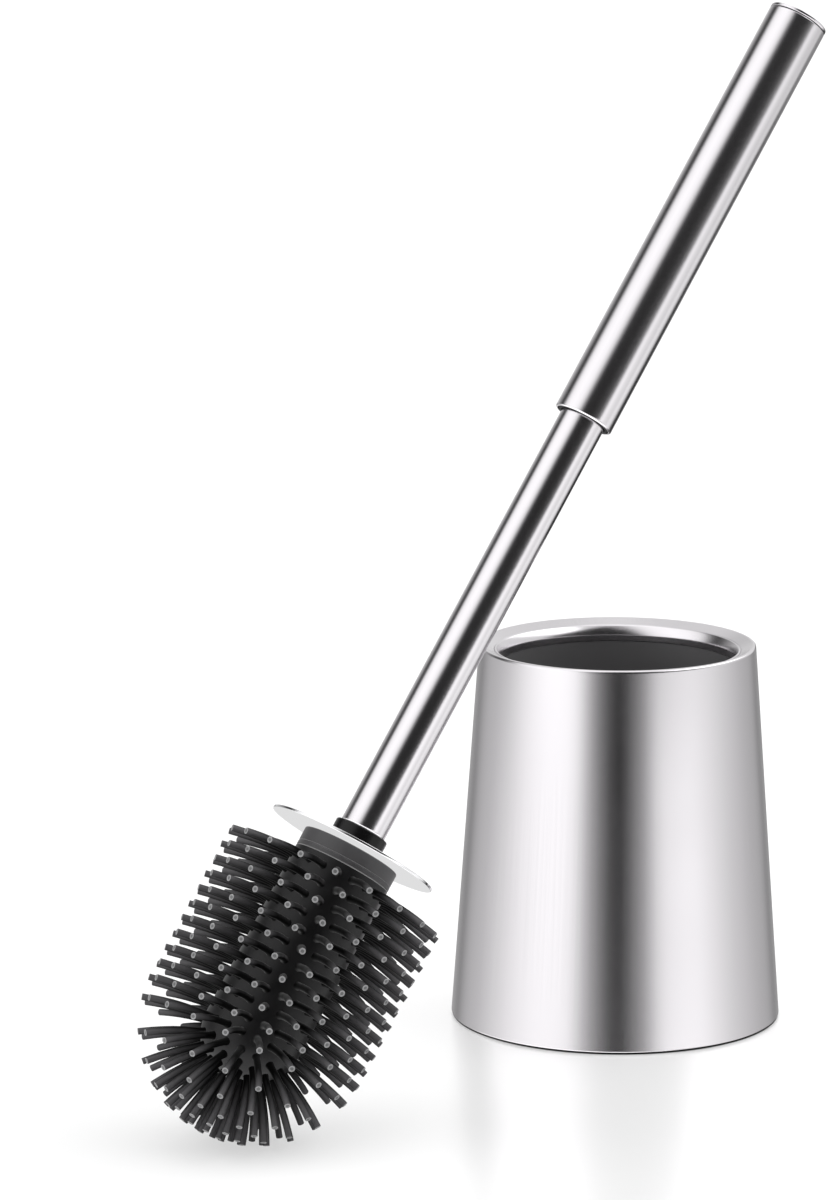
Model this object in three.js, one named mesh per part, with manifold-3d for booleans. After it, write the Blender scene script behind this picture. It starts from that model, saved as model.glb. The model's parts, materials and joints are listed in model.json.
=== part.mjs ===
// Toilet brush set: a tapered steel holder with a plastic liner, and a long brush that stands
// beside it on the tips of its rubber fingers, leaning over the holder.
// Millimetres, +Z up. The origin is the middle of the holder's underside.

import * as THREE from 'three';
import { mergeVertices } from 'three/addons/utils/BufferGeometryUtils.js';
import Module from 'manifold-3d';

const wasm = await Module();
wasm.setup();

// ---------------------------------------------------------------- driving dimensions

const GAP = 0.3; // clearance left between pieces that seat on each other

// Holder
const HOLDER_H = 126.4;
const BASE_R = 55.0; // outside of the shell at its hem
const SHOULDER_R = 46.1; // outside of the shell where it turns into the rim
const SHEET = 0.8; // steel sheet of the shell
const HEM_Z = 0.8; // underside of the shell's hem
const BEAD_R = 0.9; // outer edge of the rim
const VALLEY_R = 41.0; // where the dished top face meets the lip
const VALLEY_DEPTH = 1.9;
const LIP_R = 1.0; // rounded inner lip of the rim
const LIP_DEPTH = 2.7; // middle of the lip's round below the top
const MOUTH_R = 39.15; // clear radius of the mouth
const LIP_END_Z = 119.4; // where the steel lip ends inside the mouth

const CUP_WALL = 1.5;
const CUP_TOP_R = 40.6;
const CUP_FOOT_R = 37.4;
const CUP_FLOOR_Z = 6.2; // underside of the liner's floor
const CUP_TOP_Z = LIP_END_Z - 0.4;

const PLATE_TOP = 2.9;
const PAD_T = 1.4;
const PAD_R = 45.0;
const SCREW_RING_R = 22.0;
const SCREW_COUNT = 3;

// Brush: z runs along the handle from the middle of the round end of the head
const LEAN = 34.6; // degrees from upright
const HEADING = 34.32; // degrees from +X, the way the handle leans
const TIP_R = 36.6; // finger tips, also the radius of the round end
const STAND_X = -116.2; // middle of the round end
const STAND_Y = -154.2;
const STAND_Z = 36.7;

const CORE_R = 15.95; // rubber sleeve
const CORE_BORE = 12.15;
const DOME_Z = -2.4; // middle of the sleeve's dome
const RINGS = 11; // straight rings of fingers
const FINGERS = 19; // fingers in a ring
const RING_1_Z = 52.35;
const RING_PITCH = 5.21;
const RING_1_TURN = 5.1; // degrees about the axis, from the downhill side
const RING_TWIST = (-5 / 9) * (360 / FINGERS); // each ring is turned on from the one above
const DROOP = 2.35; // how far a tip hangs towards the round end
const FINGER_R = 1.13;

// Rings on the dome. Roots and tips are given as degrees below its rim.
const FAN = [
  { root: 6.5, tip: 13.5, count: 19, turn: 13.9 },
  { root: 23.7, tip: 30.4, count: 17, turn: 18.9 },
  { root: 38.8, tip: 44.6, count: 15, turn: 19.0 },
  { root: 52.3, tip: 57.0, count: 18, turn: 4.0 },
  { root: 65.2, tip: 68.5, count: 14, turn: 9.0 },
  { root: 77.0, tip: 79.0, count: 8, turn: 20.0 },
  { root: 90.0, tip: 90.0, count: 1, turn: 0.0 },
];

const NECK_Z = [56.0, 62.1];
const DISC_Z = [62.4, 63.2];
const DISC_R = 27.7;
const COLLAR_Z = [63.5, 69.3];
const COLLAR_R = 8.75;

const ROD_Z = [69.6, 274];
const ROD_R = 7.42;
const ROD_WALL = 0.7;
const GRIP_Z = [216.6, 363.5];
const GRIP_R = 9.7;
const GRIP_WALL = 0.8;
const CAP_TOP = 364.9;

const STUD_R = 4.0;
const STUD_Z = [46, 91];
const SOCKET_BORE = 4.05; // running fit round the stud

// ---------------------------------------------------------------- finishes

const finish = (color, roughness, metalness) =>
  new THREE.MeshStandardMaterial({ color, roughness, metalness });

const brushedSteel = () => finish(0xc9c9cb, 0.28, 1);
const zincSteel = () => finish(0xa9adb2, 0.35, 1);
const brass = () => finish(0xb9924a, 0.35, 1);
const blackPlastic = () => finish(0x141416, 0.45, 0);
const greyRubber = () => finish(0x3a3a3d, 0.6, 0);
const blackFoam = () => finish(0x1d1d1f, 0.9, 0);

// ---------------------------------------------------------------- geometry helpers

const rad = THREE.MathUtils.degToRad;
const polar = (cx, cz, r, degrees) =>
  new THREE.Vector2(cx + r * Math.cos(rad(degrees)), cz + r * Math.sin(rad(degrees)));

// Turns a closed (radius, z) outline, given anticlockwise, about the Z axis.
function revolve(outline, segments, phase = 0) {
  const points = outline.map((p) => (Array.isArray(p) ? new THREE.Vector2(p[0], p[1]) : p));
  points.push(points[0].clone());
  return new THREE.LatheGeometry(points, segments, phase).rotateX(Math.PI / 2);
}

// A plain ring or, with inner radius 0, a disc.
function ring(inner, outer, [z0, z1], segments) {
  return revolve([[inner, z0], [outer, z0], [outer, z1], [inner, z1]], segments);
}

// A ring whose outer corners are broken by a small chamfer.
function chamferedRing(inner, outer, [z0, z1], c, segments) {
  const rim = [[outer - c, z0], [outer, z0 + c], [outer, z1 - c], [outer - c, z1]];
  return revolve([[inner, z0], ...rim, [inner, z1]], segments);
}

// Points of an arc, both ends included.
function arc(cx, cz, r, from, to, steps) {
  return Array.from({ length: steps + 1 }, (_, i) => polar(cx, cz, r, from + ((to - from) * i) / steps));
}

// Gives a face line its sheet thickness: the line, then the same line offset to its left, back.
function sheet(face, thickness) {
  const back = face.map((point, i) => {
    const before = face[Math.max(i - 1, 0)];
    const after = face[Math.min(i + 1, face.length - 1)];
    const into = point.clone().sub(before).normalize();
    const out = after.clone().sub(point).normalize();
    if (i === 0) into.copy(out);
    if (i === face.length - 1) out.copy(into);
    const mid = into.clone().add(out).normalize();
    const left = new THREE.Vector2(-mid.y, mid.x);
    const stretch = 1 / Math.max(0.5, mid.dot(into));
    return point.clone().addScaledVector(left, thickness * stretch);
  });
  return [...face, ...back.reverse()];
}

// A closed tube of few sides along a list of points; the section's first corner faces `up`.
function strand(points, radii, sides, up) {
  const corners = [];
  points.forEach((point, i) => {
    const a = points[Math.max(i - 1, 0)];
    const b = points[Math.min(i + 1, points.length - 1)];
    const along = b.clone().sub(a).normalize();
    const across = along.clone().cross(up).normalize();
    const top = across.clone().cross(along);
    for (let s = 0; s < sides; s++) {
      const angle = (2 * Math.PI * s) / sides;
      corners.push(
        point.clone()
          .addScaledVector(top, radii[i] * Math.cos(angle))
          .addScaledVector(across, radii[i] * Math.sin(angle)),
      );
    }
  });
  const faces = [];
  for (let i = 0; i + 1 < points.length; i++) {
    for (let s = 0; s < sides; s++) {
      const a = i * sides + s;
      const b = i * sides + ((s + 1) % sides);
      faces.push(a, b, b + sides, a, b + sides, a + sides);
    }
  }
  const last = (points.length - 1) * sides;
  for (let s = 1; s + 1 < sides; s++) {
    faces.push(0, s + 1, s, last, last + s, last + s + 1);
  }
  const geometry = new THREE.BufferGeometry();
  const positions = corners.flatMap((corner) => corner.toArray());
  geometry.setAttribute('position', new THREE.Float32BufferAttribute(positions, 3));
  geometry.setIndex(faces);
  return geometry;
}

function solid(geometry) {
  const bare = geometry.clone();
  bare.deleteAttribute('normal');
  bare.deleteAttribute('uv');
  const merged = mergeVertices(bare, 1e-4);
  return new wasm.Manifold(
    new wasm.Mesh({
      numProp: 3,
      vertProperties: new Float32Array(merged.attributes.position.array),
      triVerts: new Uint32Array(merged.index.array),
    }),
  );
}

function toGeometry(manifold) {
  const { vertProperties, triVerts } = manifold.getMesh();
  const geometry = new THREE.BufferGeometry();
  geometry.setAttribute('position', new THREE.BufferAttribute(new Float32Array(vertProperties), 3));
  geometry.setIndex(new THREE.BufferAttribute(new Uint32Array(triVerts), 1));
  geometry.computeVertexNormals();
  return geometry;
}

function subpart(name, geometry, material) {
  const mesh = new THREE.Mesh(geometry, material);
  mesh.name = name;
  return mesh;
}

// ---------------------------------------------------------------- holder

// Drawn and tapered shell: a turned-in hem, a straight wall, a tight outer edge, a top face that
// dips inwards, a crisp valley and a rounded lip that rolls down into the mouth.
function outerShell() {
  const draft = THREE.MathUtils.radToDeg(Math.atan((BASE_R - SHOULDER_R) / (HOLDER_H - HEM_Z)));
  const lipX = MOUTH_R + LIP_R;
  const lipZ = HOLDER_H - LIP_DEPTH;
  const face = [
    new THREE.Vector2(BASE_R - 2.4, HEM_Z),
    ...arc(BASE_R - 0.6, HEM_Z + 0.6, 0.6, -90, draft, 2),
    ...arc(SHOULDER_R - BEAD_R, HOLDER_H - BEAD_R, BEAD_R, draft, 110, 3),
    new THREE.Vector2(VALLEY_R, HOLDER_H - VALLEY_DEPTH),
    ...arc(lipX, lipZ, LIP_R, 62, 180, 4),
    new THREE.Vector2(MOUTH_R, LIP_END_Z),
  ];
  return subpart('outer_shell', revolve(sheet(face, SHEET), 48), brushedSteel());
}

// Moulded liner that keeps drips off the steel: a tapered wall, a rounded floor edge, a low
// drip ring on the floor and bosses under it for the screws.
function innerCup() {
  const floorTop = CUP_FLOOR_Z + CUP_WALL;
  const corner = 5;
  const outside = [
    [0, CUP_FLOOR_Z],
    ...arc(CUP_FOOT_R - corner, CUP_FLOOR_Z + corner, corner, -90, 0, 3),
    [CUP_TOP_R, CUP_TOP_Z],
  ];
  const insideCorner = corner - CUP_WALL;
  const inside = [
    [CUP_TOP_R - CUP_WALL, CUP_TOP_Z],
    ...arc(CUP_FOOT_R - corner, floorTop + insideCorner, insideCorner, 0, -90, 3),
    [20, floorTop],
    [19.2, floorTop + 0.8],
    [17.8, floorTop + 0.8],
    [17, floorTop],
    [0, floorTop],
  ];
  let cup = solid(revolve([...outside, ...inside], 40));
  for (const post of screwPosts()) {
    const boss = new THREE.CylinderGeometry(3.2, 3.2, CUP_FLOOR_Z + 0.5 - PLATE_TOP - GAP, 12);
    boss.rotateX(Math.PI / 2);
    boss.translate(post.x, post.y, (CUP_FLOOR_Z + 0.5 + PLATE_TOP + GAP) / 2);
    const pilot = new THREE.CylinderGeometry(1.5, 1.5, 6, 10);
    pilot.rotateX(Math.PI / 2);
    pilot.translate(post.x, post.y, CUP_FLOOR_Z + 1 - 3);
    cup = cup.add(solid(boss)).subtract(solid(pilot));
  }
  return subpart('inner_cup', toGeometry(cup), blackPlastic());
}

function screwPosts() {
  return Array.from({ length: SCREW_COUNT }, (_, i) => {
    const angle = rad(90 + (360 * i) / SCREW_COUNT);
    return new THREE.Vector3(SCREW_RING_R * Math.cos(angle), SCREW_RING_R * Math.sin(angle), 0);
  });
}

// Closes the underside. Its edge shows as a thin black line below the shell, its skirt grips the
// hem from inside, stiffening ribs join skirt and floor, and a recess below takes the foam pad.
function basePlate() {
  const skirtR = BASE_R - 2.4 - GAP;
  const edgeZ = 0.1;
  const outline = [
    [PAD_R + GAP, edgeZ],
    [BASE_R - 1, edgeZ],
    [BASE_R - 0.8, HEM_Z - GAP],
    [skirtR, HEM_Z - GAP],
    [skirtR, 9],
    [skirtR - 1.4, 9],
    [skirtR - 1.4, PLATE_TOP],
    [0, PLATE_TOP],
    [0, PAD_T + GAP],
    [PAD_R + GAP, PAD_T + GAP],
  ];
  let plate = solid(revolve(outline, 40));
  for (let i = 0; i < 6; i++) {
    const rib = new THREE.BoxGeometry(8, 1.4, 3.4);
    rib.translate(skirtR - 4.6, 0, PLATE_TOP + 1.2);
    rib.rotateZ(rad(60 * i));
    plate = plate.add(solid(rib));
  }
  for (const post of screwPosts()) {
    const hole = new THREE.CylinderGeometry(1.9, 1.9, 6, 12);
    hole.rotateX(Math.PI / 2);
    hole.translate(post.x, post.y, PLATE_TOP);
    plate = plate.subtract(solid(hole));
  }
  return subpart('base_plate', toGeometry(plate), blackPlastic());
}

// Self-adhesive foam disc, proud of the plate, that the holder stands on. Three shallow
// pockets in its top clear the screw heads.
function footPad() {
  let pad = solid(ring(0, PAD_R, [0, PAD_T], 40));
  for (const post of screwPosts()) {
    const pocket = new THREE.CylinderGeometry(3.6, 3.6, 2, 12);
    pocket.rotateX(Math.PI / 2);
    pocket.translate(post.x, post.y, 0.5 + 1);
    pad = pad.subtract(solid(pocket));
  }
  return subpart('foot_pad', toGeometry(pad), blackFoam());
}

// Pan-head screw from below: the head bears on the plate, the shank bites in the liner's boss.
function baseScrew(post, index) {
  const headTop = PAD_T + GAP / 2;
  const profile = [
    [0, 0.75],
    [2.6, 0.75],
    [3.1, 1.05],
    [3.1, headTop],
    [1.2, headTop],
    [1.2, CUP_FLOOR_Z + 0.6],
    [0, CUP_FLOOR_Z + 1 - 0.3],
  ];
  const geometry = revolve(profile, 10);
  geometry.translate(post.x, post.y, 0);
  return subpart(`base_screw_${index + 1}`, geometry, zincSteel());
}

function holder() {
  const group = new THREE.Group();
  group.add(outerShell(), innerCup(), basePlate(), footPad());
  screwPosts().forEach((post, i) => group.add(baseScrew(post, i)));
  return group;
}

// ---------------------------------------------------------------- brush head

// Every ring of fingers as its root and tip in (radius, z), its count and its turn about the axis.
function fingerRings() {
  const straight = Array.from({ length: RINGS }, (_, i) => {
    const z = RING_1_Z - i * RING_PITCH;
    return {
      root: new THREE.Vector2(CORE_R, z),
      tip: new THREE.Vector2(TIP_R, z - DROOP),
      count: FINGERS,
      turn: RING_1_TURN + i * RING_TWIST,
      bulge: DROOP,
    };
  });
  const fan = FAN.map(({ root, tip, count, turn }) => ({
    root: polar(0, DOME_Z, CORE_R, -root),
    tip: polar(0, 0, TIP_R, -tip),
    count,
    turn,
    bulge: DROOP * Math.cos(rad(root)),
  }));
  return [...straight, ...fan];
}

// One finger of a ring: square to the sleeve at its root, curving towards the round end.
function finger(spec, index) {
  const chord = spec.tip.clone().sub(spec.root);
  const handleSide = new THREE.Vector2(-chord.y, chord.x).normalize();
  const sunk = spec.root.clone().addScaledVector(chord.clone().normalize(), -0.9);
  const middle = spec.root.clone().addScaledVector(chord, 0.5);
  middle.addScaledVector(handleSide, spec.bulge / 4);
  const turn = rad(spec.turn + (360 * index) / spec.count);
  const around = (p) => new THREE.Vector3(p.x * Math.cos(turn), p.x * Math.sin(turn), p.y);
  const up = new THREE.Vector3(Math.cos(turn) * handleSide.x, Math.sin(turn) * handleSide.x, handleSide.y);
  const radii = [FINGER_R, FINGER_R * 0.95, FINGER_R * 0.9];
  return strand([sunk, middle, spec.tip].map(around), radii, 3, up);
}

// A slice of the rubber sleeve with the fingers whose roots lie on it.
function sleeveSlice(name, backing, low, high) {
  let slice = solid(backing);
  for (const spec of fingerRings()) {
    if (spec.root.y < low || spec.root.y >= high) continue;
    for (let i = 0; i < spec.count; i++) slice = slice.add(solid(finger(spec, i)));
  }
  return subpart(name, toGeometry(slice), greyRubber());
}

function bristleSleeve() {
  const ringZ = (n) => RING_1_Z - (n - 1.5) * RING_PITCH; // halfway above ring n
  const cuts = [ringZ(5), ringZ(9), ringZ(RINGS + 1)];
  const facets = 22;
  const tube = (low, high) => ring(CORE_BORE, CORE_R, [low + GAP / 2, high - GAP / 2], facets);
  const top = cuts[2] - GAP / 2;
  const dome = revolve(
    [
      ...arc(0, DOME_Z, CORE_R, -90, 0, 6),
      [CORE_R, top],
      [CORE_BORE, top],
      ...arc(0, DOME_Z, CORE_BORE, 0, -90, 3),
    ],
    facets,
  );
  return [
    sleeveSlice('bristle_sleeve_upper', tube(cuts[0], NECK_Z[0] - GAP / 2), cuts[0], NECK_Z[0]),
    sleeveSlice('bristle_sleeve_middle', tube(cuts[1], cuts[0]), cuts[1], cuts[0]),
    sleeveSlice('bristle_sleeve_lower', tube(cuts[2], cuts[1]), cuts[2], cuts[1]),
    sleeveSlice('bristle_tip', dome, -TIP_R, cuts[2]),
  ];
}

// Stiff moulding inside the rubber: a domed post with a stepped bore for the thread socket.
function headCore() {
  const r = CORE_BORE - GAP;
  const outline = [
    ...arc(0, DOME_Z, r, -90, 0, 3),
    [r, NECK_Z[1] - GAP],
    [6.5 + GAP, NECK_Z[1] - GAP],
    [6.5 + GAP, 40],
    [STUD_R + 1, 40],
    [STUD_R + 1, 30],
    [0, 30],
  ];
  return subpart('head_core', revolve(outline, 24), blackPlastic());
}

function threadSocket() {
  const z = [40 + GAP, NECK_Z[1] - 0.5];
  return subpart('thread_socket', chamferedRing(SOCKET_BORE, 6.5, z, 0.5, 20), brass());
}

// Rubber neck above the fingers, its upper edge rounded.
function neckCap() {
  const [z0, z1] = NECK_Z;
  const outline = [
    [CORE_BORE, z0],
    [CORE_R - 0.3, z0],
    [CORE_R, z0 + 0.3],
    ...arc(CORE_R - 0.9, z1 - 0.9, 0.9, 0, 90, 3),
    [CORE_BORE, z1],
  ];
  return subpart('neck_cap', revolve(outline, 32), greyRubber());
}

// ---------------------------------------------------------------- splash guard and handle

function splashGuard() {
  const disc = chamferedRing(STUD_R + 0.6, DISC_R, DISC_Z, 0.25, 48);
  const collar = chamferedRing(STUD_R + 0.4, COLLAR_R, COLLAR_Z, 0.4, 28);
  return [
    subpart('splash_disc', disc, brushedSteel()),
    subpart('seal_collar', collar, blackPlastic()),
  ];
}

function threadedStud() {
  return subpart('threaded_stud', chamferedRing(0, STUD_R, STUD_Z, 0.8, 20), zincSteel());
}

// Plug in the lower end of the rod that the stud is set in.
function rodEndInsert() {
  const outer = ROD_R - ROD_WALL - GAP;
  const bore = STUD_R + GAP;
  const [z0, z1] = [ROD_Z[0] + 0.4, 100];
  const outline = [
    [bore, z0],
    [outer, z0],
    [outer, z1],
    [0, z1],
    [0, STUD_Z[1] + GAP],
    [bore, STUD_Z[1] + GAP],
  ];
  return subpart('rod_end_insert', revolve(outline, 20), blackPlastic());
}

function rodTube() {
  return subpart('rod_tube', ring(ROD_R - ROD_WALL, ROD_R, ROD_Z, 36), brushedSteel());
}

// Closes the rod's hidden upper end inside the grip.
function rodTopPlug() {
  const [stem, flange] = [ROD_R - ROD_WALL - GAP, ROD_R];
  const z = ROD_Z[1];
  const outline = [
    [0, z - 12],
    [stem, z - 12],
    [stem, z + GAP],
    [flange, z + GAP],
    [flange, z + 2],
    [0, z + 2],
  ];
  return subpart('rod_top_plug', revolve(outline, 20), blackPlastic());
}

// Bushings that centre the rod in the wider grip: one closes the grip's open end, one is inside.
function gripBushing(name, z) {
  const bushing = chamferedRing(ROD_R + GAP, GRIP_R - GRIP_WALL - GAP, z, 0.3, 24);
  return subpart(name, bushing, blackPlastic());
}

function gripTube() {
  const inner = GRIP_R - GRIP_WALL;
  const [z0, z1] = GRIP_Z;
  const edge = 0.4;
  const outline = [
    [inner, z0 + edge],
    [inner + edge, z0],
    [GRIP_R - edge, z0],
    [GRIP_R, z0 + edge],
    [GRIP_R, z1],
    [inner, z1],
  ];
  return subpart('grip_tube', revolve(outline, 36), brushedSteel());
}

// Hollow plug pushed into the top of the grip; the steel end cap is bonded to it.
function endCapPlug() {
  const outer = GRIP_R - GRIP_WALL - GAP;
  const [z0, z1] = [GRIP_Z[1] - 14, GRIP_Z[1] - 0.2];
  const outline = [
    [outer - 1.6, z0],
    [outer, z0],
    [outer, z1],
    [3.3, z1],
    [3.3, z1 - 4],
    [outer - 1.6, z1 - 4],
  ];
  return subpart('end_cap_plug', revolve(outline, 24), blackPlastic());
}

// Thin steel end cap: a shallow crowned face, a broken edge, and a spigot in the plug's hole.
function endCap() {
  const seat = GRIP_Z[1] + GAP;
  const outline = [
    [0, seat - 4],
    [3, seat - 4],
    [3, seat],
    [GRIP_R, seat],
    [GRIP_R, CAP_TOP - 0.6],
    [GRIP_R - 0.4, CAP_TOP - 0.25],
    [GRIP_R / 2, CAP_TOP - 0.06],
    [0, CAP_TOP],
  ];
  return subpart('end_cap', revolve(outline, 36), brushedSteel());
}

function brush() {
  const along = new THREE.Group();
  along.add(...bristleSleeve(), headCore(), threadSocket(), neckCap(), ...splashGuard());
  along.add(threadedStud(), rodEndInsert(), rodTube(), rodTopPlug());
  along.add(gripBushing('grip_bushing_lower', [GRIP_Z[0] + GAP, GRIP_Z[0] + 22]));
  along.add(gripBushing('grip_bushing_upper', [ROD_Z[1] - 18, ROD_Z[1] - 4]));
  along.add(gripTube(), endCapPlug(), endCap());
  along.rotation.y = rad(LEAN);

  const heading = new THREE.Group();
  heading.add(along);
  heading.rotation.z = rad(HEADING);
  heading.position.set(STAND_X, STAND_Y, STAND_Z);
  return heading;
}

const toiletBrushSet = new THREE.Group();
toiletBrushSet.add(holder(), brush());

export default toiletBrushSet;
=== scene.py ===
"""Looks of the toilet brush set: smooth steel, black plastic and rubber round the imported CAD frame."""

import json
import math

import bmesh
import bpy
from mathutils import Matrix, Vector


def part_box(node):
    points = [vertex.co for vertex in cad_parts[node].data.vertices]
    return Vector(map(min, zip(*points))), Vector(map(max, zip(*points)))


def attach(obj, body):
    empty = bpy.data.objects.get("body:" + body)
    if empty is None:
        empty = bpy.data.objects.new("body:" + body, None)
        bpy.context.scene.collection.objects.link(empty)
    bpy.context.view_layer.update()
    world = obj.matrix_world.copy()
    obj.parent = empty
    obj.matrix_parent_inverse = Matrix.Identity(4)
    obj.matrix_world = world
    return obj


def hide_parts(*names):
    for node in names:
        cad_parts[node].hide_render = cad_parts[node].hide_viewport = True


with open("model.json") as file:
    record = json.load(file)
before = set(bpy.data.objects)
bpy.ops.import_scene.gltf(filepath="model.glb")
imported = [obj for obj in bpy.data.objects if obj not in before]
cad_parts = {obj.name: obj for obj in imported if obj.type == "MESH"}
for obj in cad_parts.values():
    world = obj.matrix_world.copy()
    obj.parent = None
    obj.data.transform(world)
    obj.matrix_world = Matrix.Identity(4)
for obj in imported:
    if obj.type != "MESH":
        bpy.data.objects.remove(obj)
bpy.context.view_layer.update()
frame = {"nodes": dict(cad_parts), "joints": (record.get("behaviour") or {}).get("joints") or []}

MM = 0.001

# ------------------------------------------------------------------ what the frame says

HINGE = next(j for j in frame["joints"] if j["name"] == "handle_unscrew")
AXIS = Vector(HINGE["axis"]).normalized()
PIVOT = Vector(HINGE["pos_m"])


def along(node):
    """Lowest and highest place of a brush node along the brush's axis, from the pivot."""
    places = [(v.co - PIVOT).dot(AXIS) for v in frame["nodes"][node].data.vertices]
    return min(places), max(places)


def reach(node):
    """Smallest and largest distance of a brush node's vertices from the brush's axis."""
    gaps = [(v.co - PIVOT).cross(AXIS).length for v in frame["nodes"][node].data.vertices]
    return min(gaps), max(gaps)


HEAD = PIVOT - AXIS * 70 * MM  # middle of the head's round end


def brush_space():
    """Brush coordinates: Z up the handle from the middle of the head's round end, X downhill."""
    lean = math.hypot(AXIS.x, AXIS.y)
    downhill = Vector((AXIS.x / lean * AXIS.z, AXIS.y / lean * AXIS.z, -lean))
    across = AXIS.cross(downhill)
    columns = Matrix((downhill, across, AXIS)).transposed().to_4x4()
    return Matrix.Translation(HEAD) @ columns


BRUSH = brush_space()


def span(node):
    """Lowest and highest Z of a brush node, in brush coordinates."""
    low, high = along(node)
    foot = (HEAD - PIVOT).dot(AXIS)
    return low - foot, high - foot


# ------------------------------------------------------------------ sizes of the bristle head

CORE_BORE, CORE_R = reach("neck_cap")  # the rubber backing, which is as wide as the neck
TIP_R = 36.6 * MM  # finger tips, also the radius of the head's round end
DOME_Z = -2.8 * MM  # middle of the backing's own round end
RINGS = 11
FINGERS = 19  # in each ring
RING_1_Z = 52.35 * MM
RING_PITCH = 5.21 * MM
RING_1_TURN = 5.1  # degrees
RING_TWIST = (-5 / 9) * (360 / FINGERS)  # degrees from a ring to the next
SLICE_STARTS = (5, 9, RINGS + 1)  # number of the ring that each slice below the first begins with
DROOP = 2.35 * MM  # how far a tip lies below its root
FINGER_R = 1.13 * MM
FAN = (  # root and tip in degrees below the dome's rim, count, turn
    (5.5, 13.5, 19, 13.9),
    (23.7, 30.4, 17, 18.9),
    (38.8, 44.6, 15, 19.0),
    (52.3, 57.0, 18, 4.0),
    (65.2, 68.5, 14, 9.0),
    (77.0, 79.0, 8, 20.0),
)

# ------------------------------------------------------------------ node helpers


def add(tree, kind, **settings):
    """Adds a node; in_Scale=2 sets its input Scale, in_1=2 its second input, the rest its settings."""
    node = tree.nodes.new(kind)
    for name, value in settings.items():
        if name.startswith("in_"):
            key = name[3:]
            node.inputs[int(key) if key.isdigit() else key].default_value = value
        else:
            setattr(node, name, value)
    return node


def new_material(name):
    material = bpy.data.materials.new(name)
    material.use_nodes = True
    tree = material.node_tree
    shader = tree.nodes["Principled BSDF"]
    return material, tree, shader


def stretched(tree, scale=(1, 1, 1)):
    """Object coordinates, scaled per axis where grain or streaks run one way."""
    coordinates = add(tree, "ShaderNodeTexCoord")
    mapping = add(tree, "ShaderNodeMapping", in_Scale=scale)
    tree.links.new(coordinates.outputs["Object"], mapping.inputs["Vector"])
    return mapping.outputs["Vector"]


def noise(tree, vector, scale, detail=3.0, roughness=0.55):
    node = add(tree, "ShaderNodeTexNoise", in_Scale=scale, in_Detail=detail, in_Roughness=roughness)
    tree.links.new(vector, node.inputs["Vector"])
    return node.outputs["Fac"]


def remap(tree, value, low, high, from_low=0.3, from_high=0.7):
    """Spreads from_low to from_high over low to high."""
    node = add(tree, "ShaderNodeMapRange")
    node.inputs["From Min"].default_value = from_low
    node.inputs["From Max"].default_value = from_high
    node.inputs["To Min"].default_value = low
    node.inputs["To Max"].default_value = high
    tree.links.new(value, node.inputs["Value"])
    return node.outputs["Result"]


def two_tone(tree, value, dark, light, low=0.3, high=0.7):
    """Goes from dark to light as the value goes from low to high."""
    node = add(tree, "ShaderNodeValToRGB")
    first, last = node.color_ramp.elements
    first.position, last.position = low, high
    first.color = (*dark, 1.0)
    last.color = (*light, 1.0)
    tree.links.new(value, node.inputs["Fac"])
    return node.outputs["Color"]


def bump(tree, shader, height, strength, distance):
    node = add(tree, "ShaderNodeBump", in_Strength=strength, in_Distance=distance)
    tree.links.new(height, node.inputs["Height"])
    tree.links.new(node.outputs["Normal"], shader.inputs["Normal"])


# ------------------------------------------------------------------ materials


def around(tree):
    """Turns object coordinates into (angle round Z, height), so grain can follow a round wall."""
    coordinates = add(tree, "ShaderNodeTexCoord")
    parts = add(tree, "ShaderNodeSeparateXYZ")
    tree.links.new(coordinates.outputs["Object"], parts.inputs["Vector"])
    angle = add(tree, "ShaderNodeMath", operation="ARCTAN2")
    tree.links.new(parts.outputs["Y"], angle.inputs[0])
    tree.links.new(parts.outputs["X"], angle.inputs[1])
    return angle.outputs["Value"], parts.outputs["Z"]


def brushed_steel(name, color, roughness, grain_per_turn, streak_per_m):
    """Steel brushed along Z: very long, very thin streaks that vary gloss and height a little."""
    material, tree, shader = new_material(name)
    angle, height = around(tree)
    joined = add(tree, "ShaderNodeCombineXYZ")
    wide = add(tree, "ShaderNodeMath", operation="MULTIPLY", in_1=grain_per_turn)
    tall = add(tree, "ShaderNodeMath", operation="MULTIPLY", in_1=streak_per_m)
    tree.links.new(angle, wide.inputs[0])
    tree.links.new(height, tall.inputs[0])
    tree.links.new(wide.outputs["Value"], joined.inputs["X"])
    tree.links.new(tall.outputs["Value"], joined.inputs["Y"])
    streaks = noise(tree, joined.outputs["Vector"], scale=1.0, detail=4.0, roughness=0.65)
    smudge = noise(tree, stretched(tree), scale=14.0, detail=2.0)
    dim = tuple(c * 0.93 for c in color)
    tree.links.new(two_tone(tree, streaks, dim, color), shader.inputs["Base Color"])
    gloss = remap(tree, streaks, roughness * 0.85, roughness * 1.15)
    worn = remap(tree, smudge, low=-0.015, high=0.015)
    total = add(tree, "ShaderNodeMath", operation="ADD")
    tree.links.new(gloss, total.inputs[0])
    tree.links.new(worn, total.inputs[1])
    tree.links.new(total.outputs["Value"], shader.inputs["Roughness"])
    shader.inputs["Metallic"].default_value = 1.0
    bump(tree, shader, streaks, strength=0.06, distance=0.1 * MM)
    return material


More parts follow.
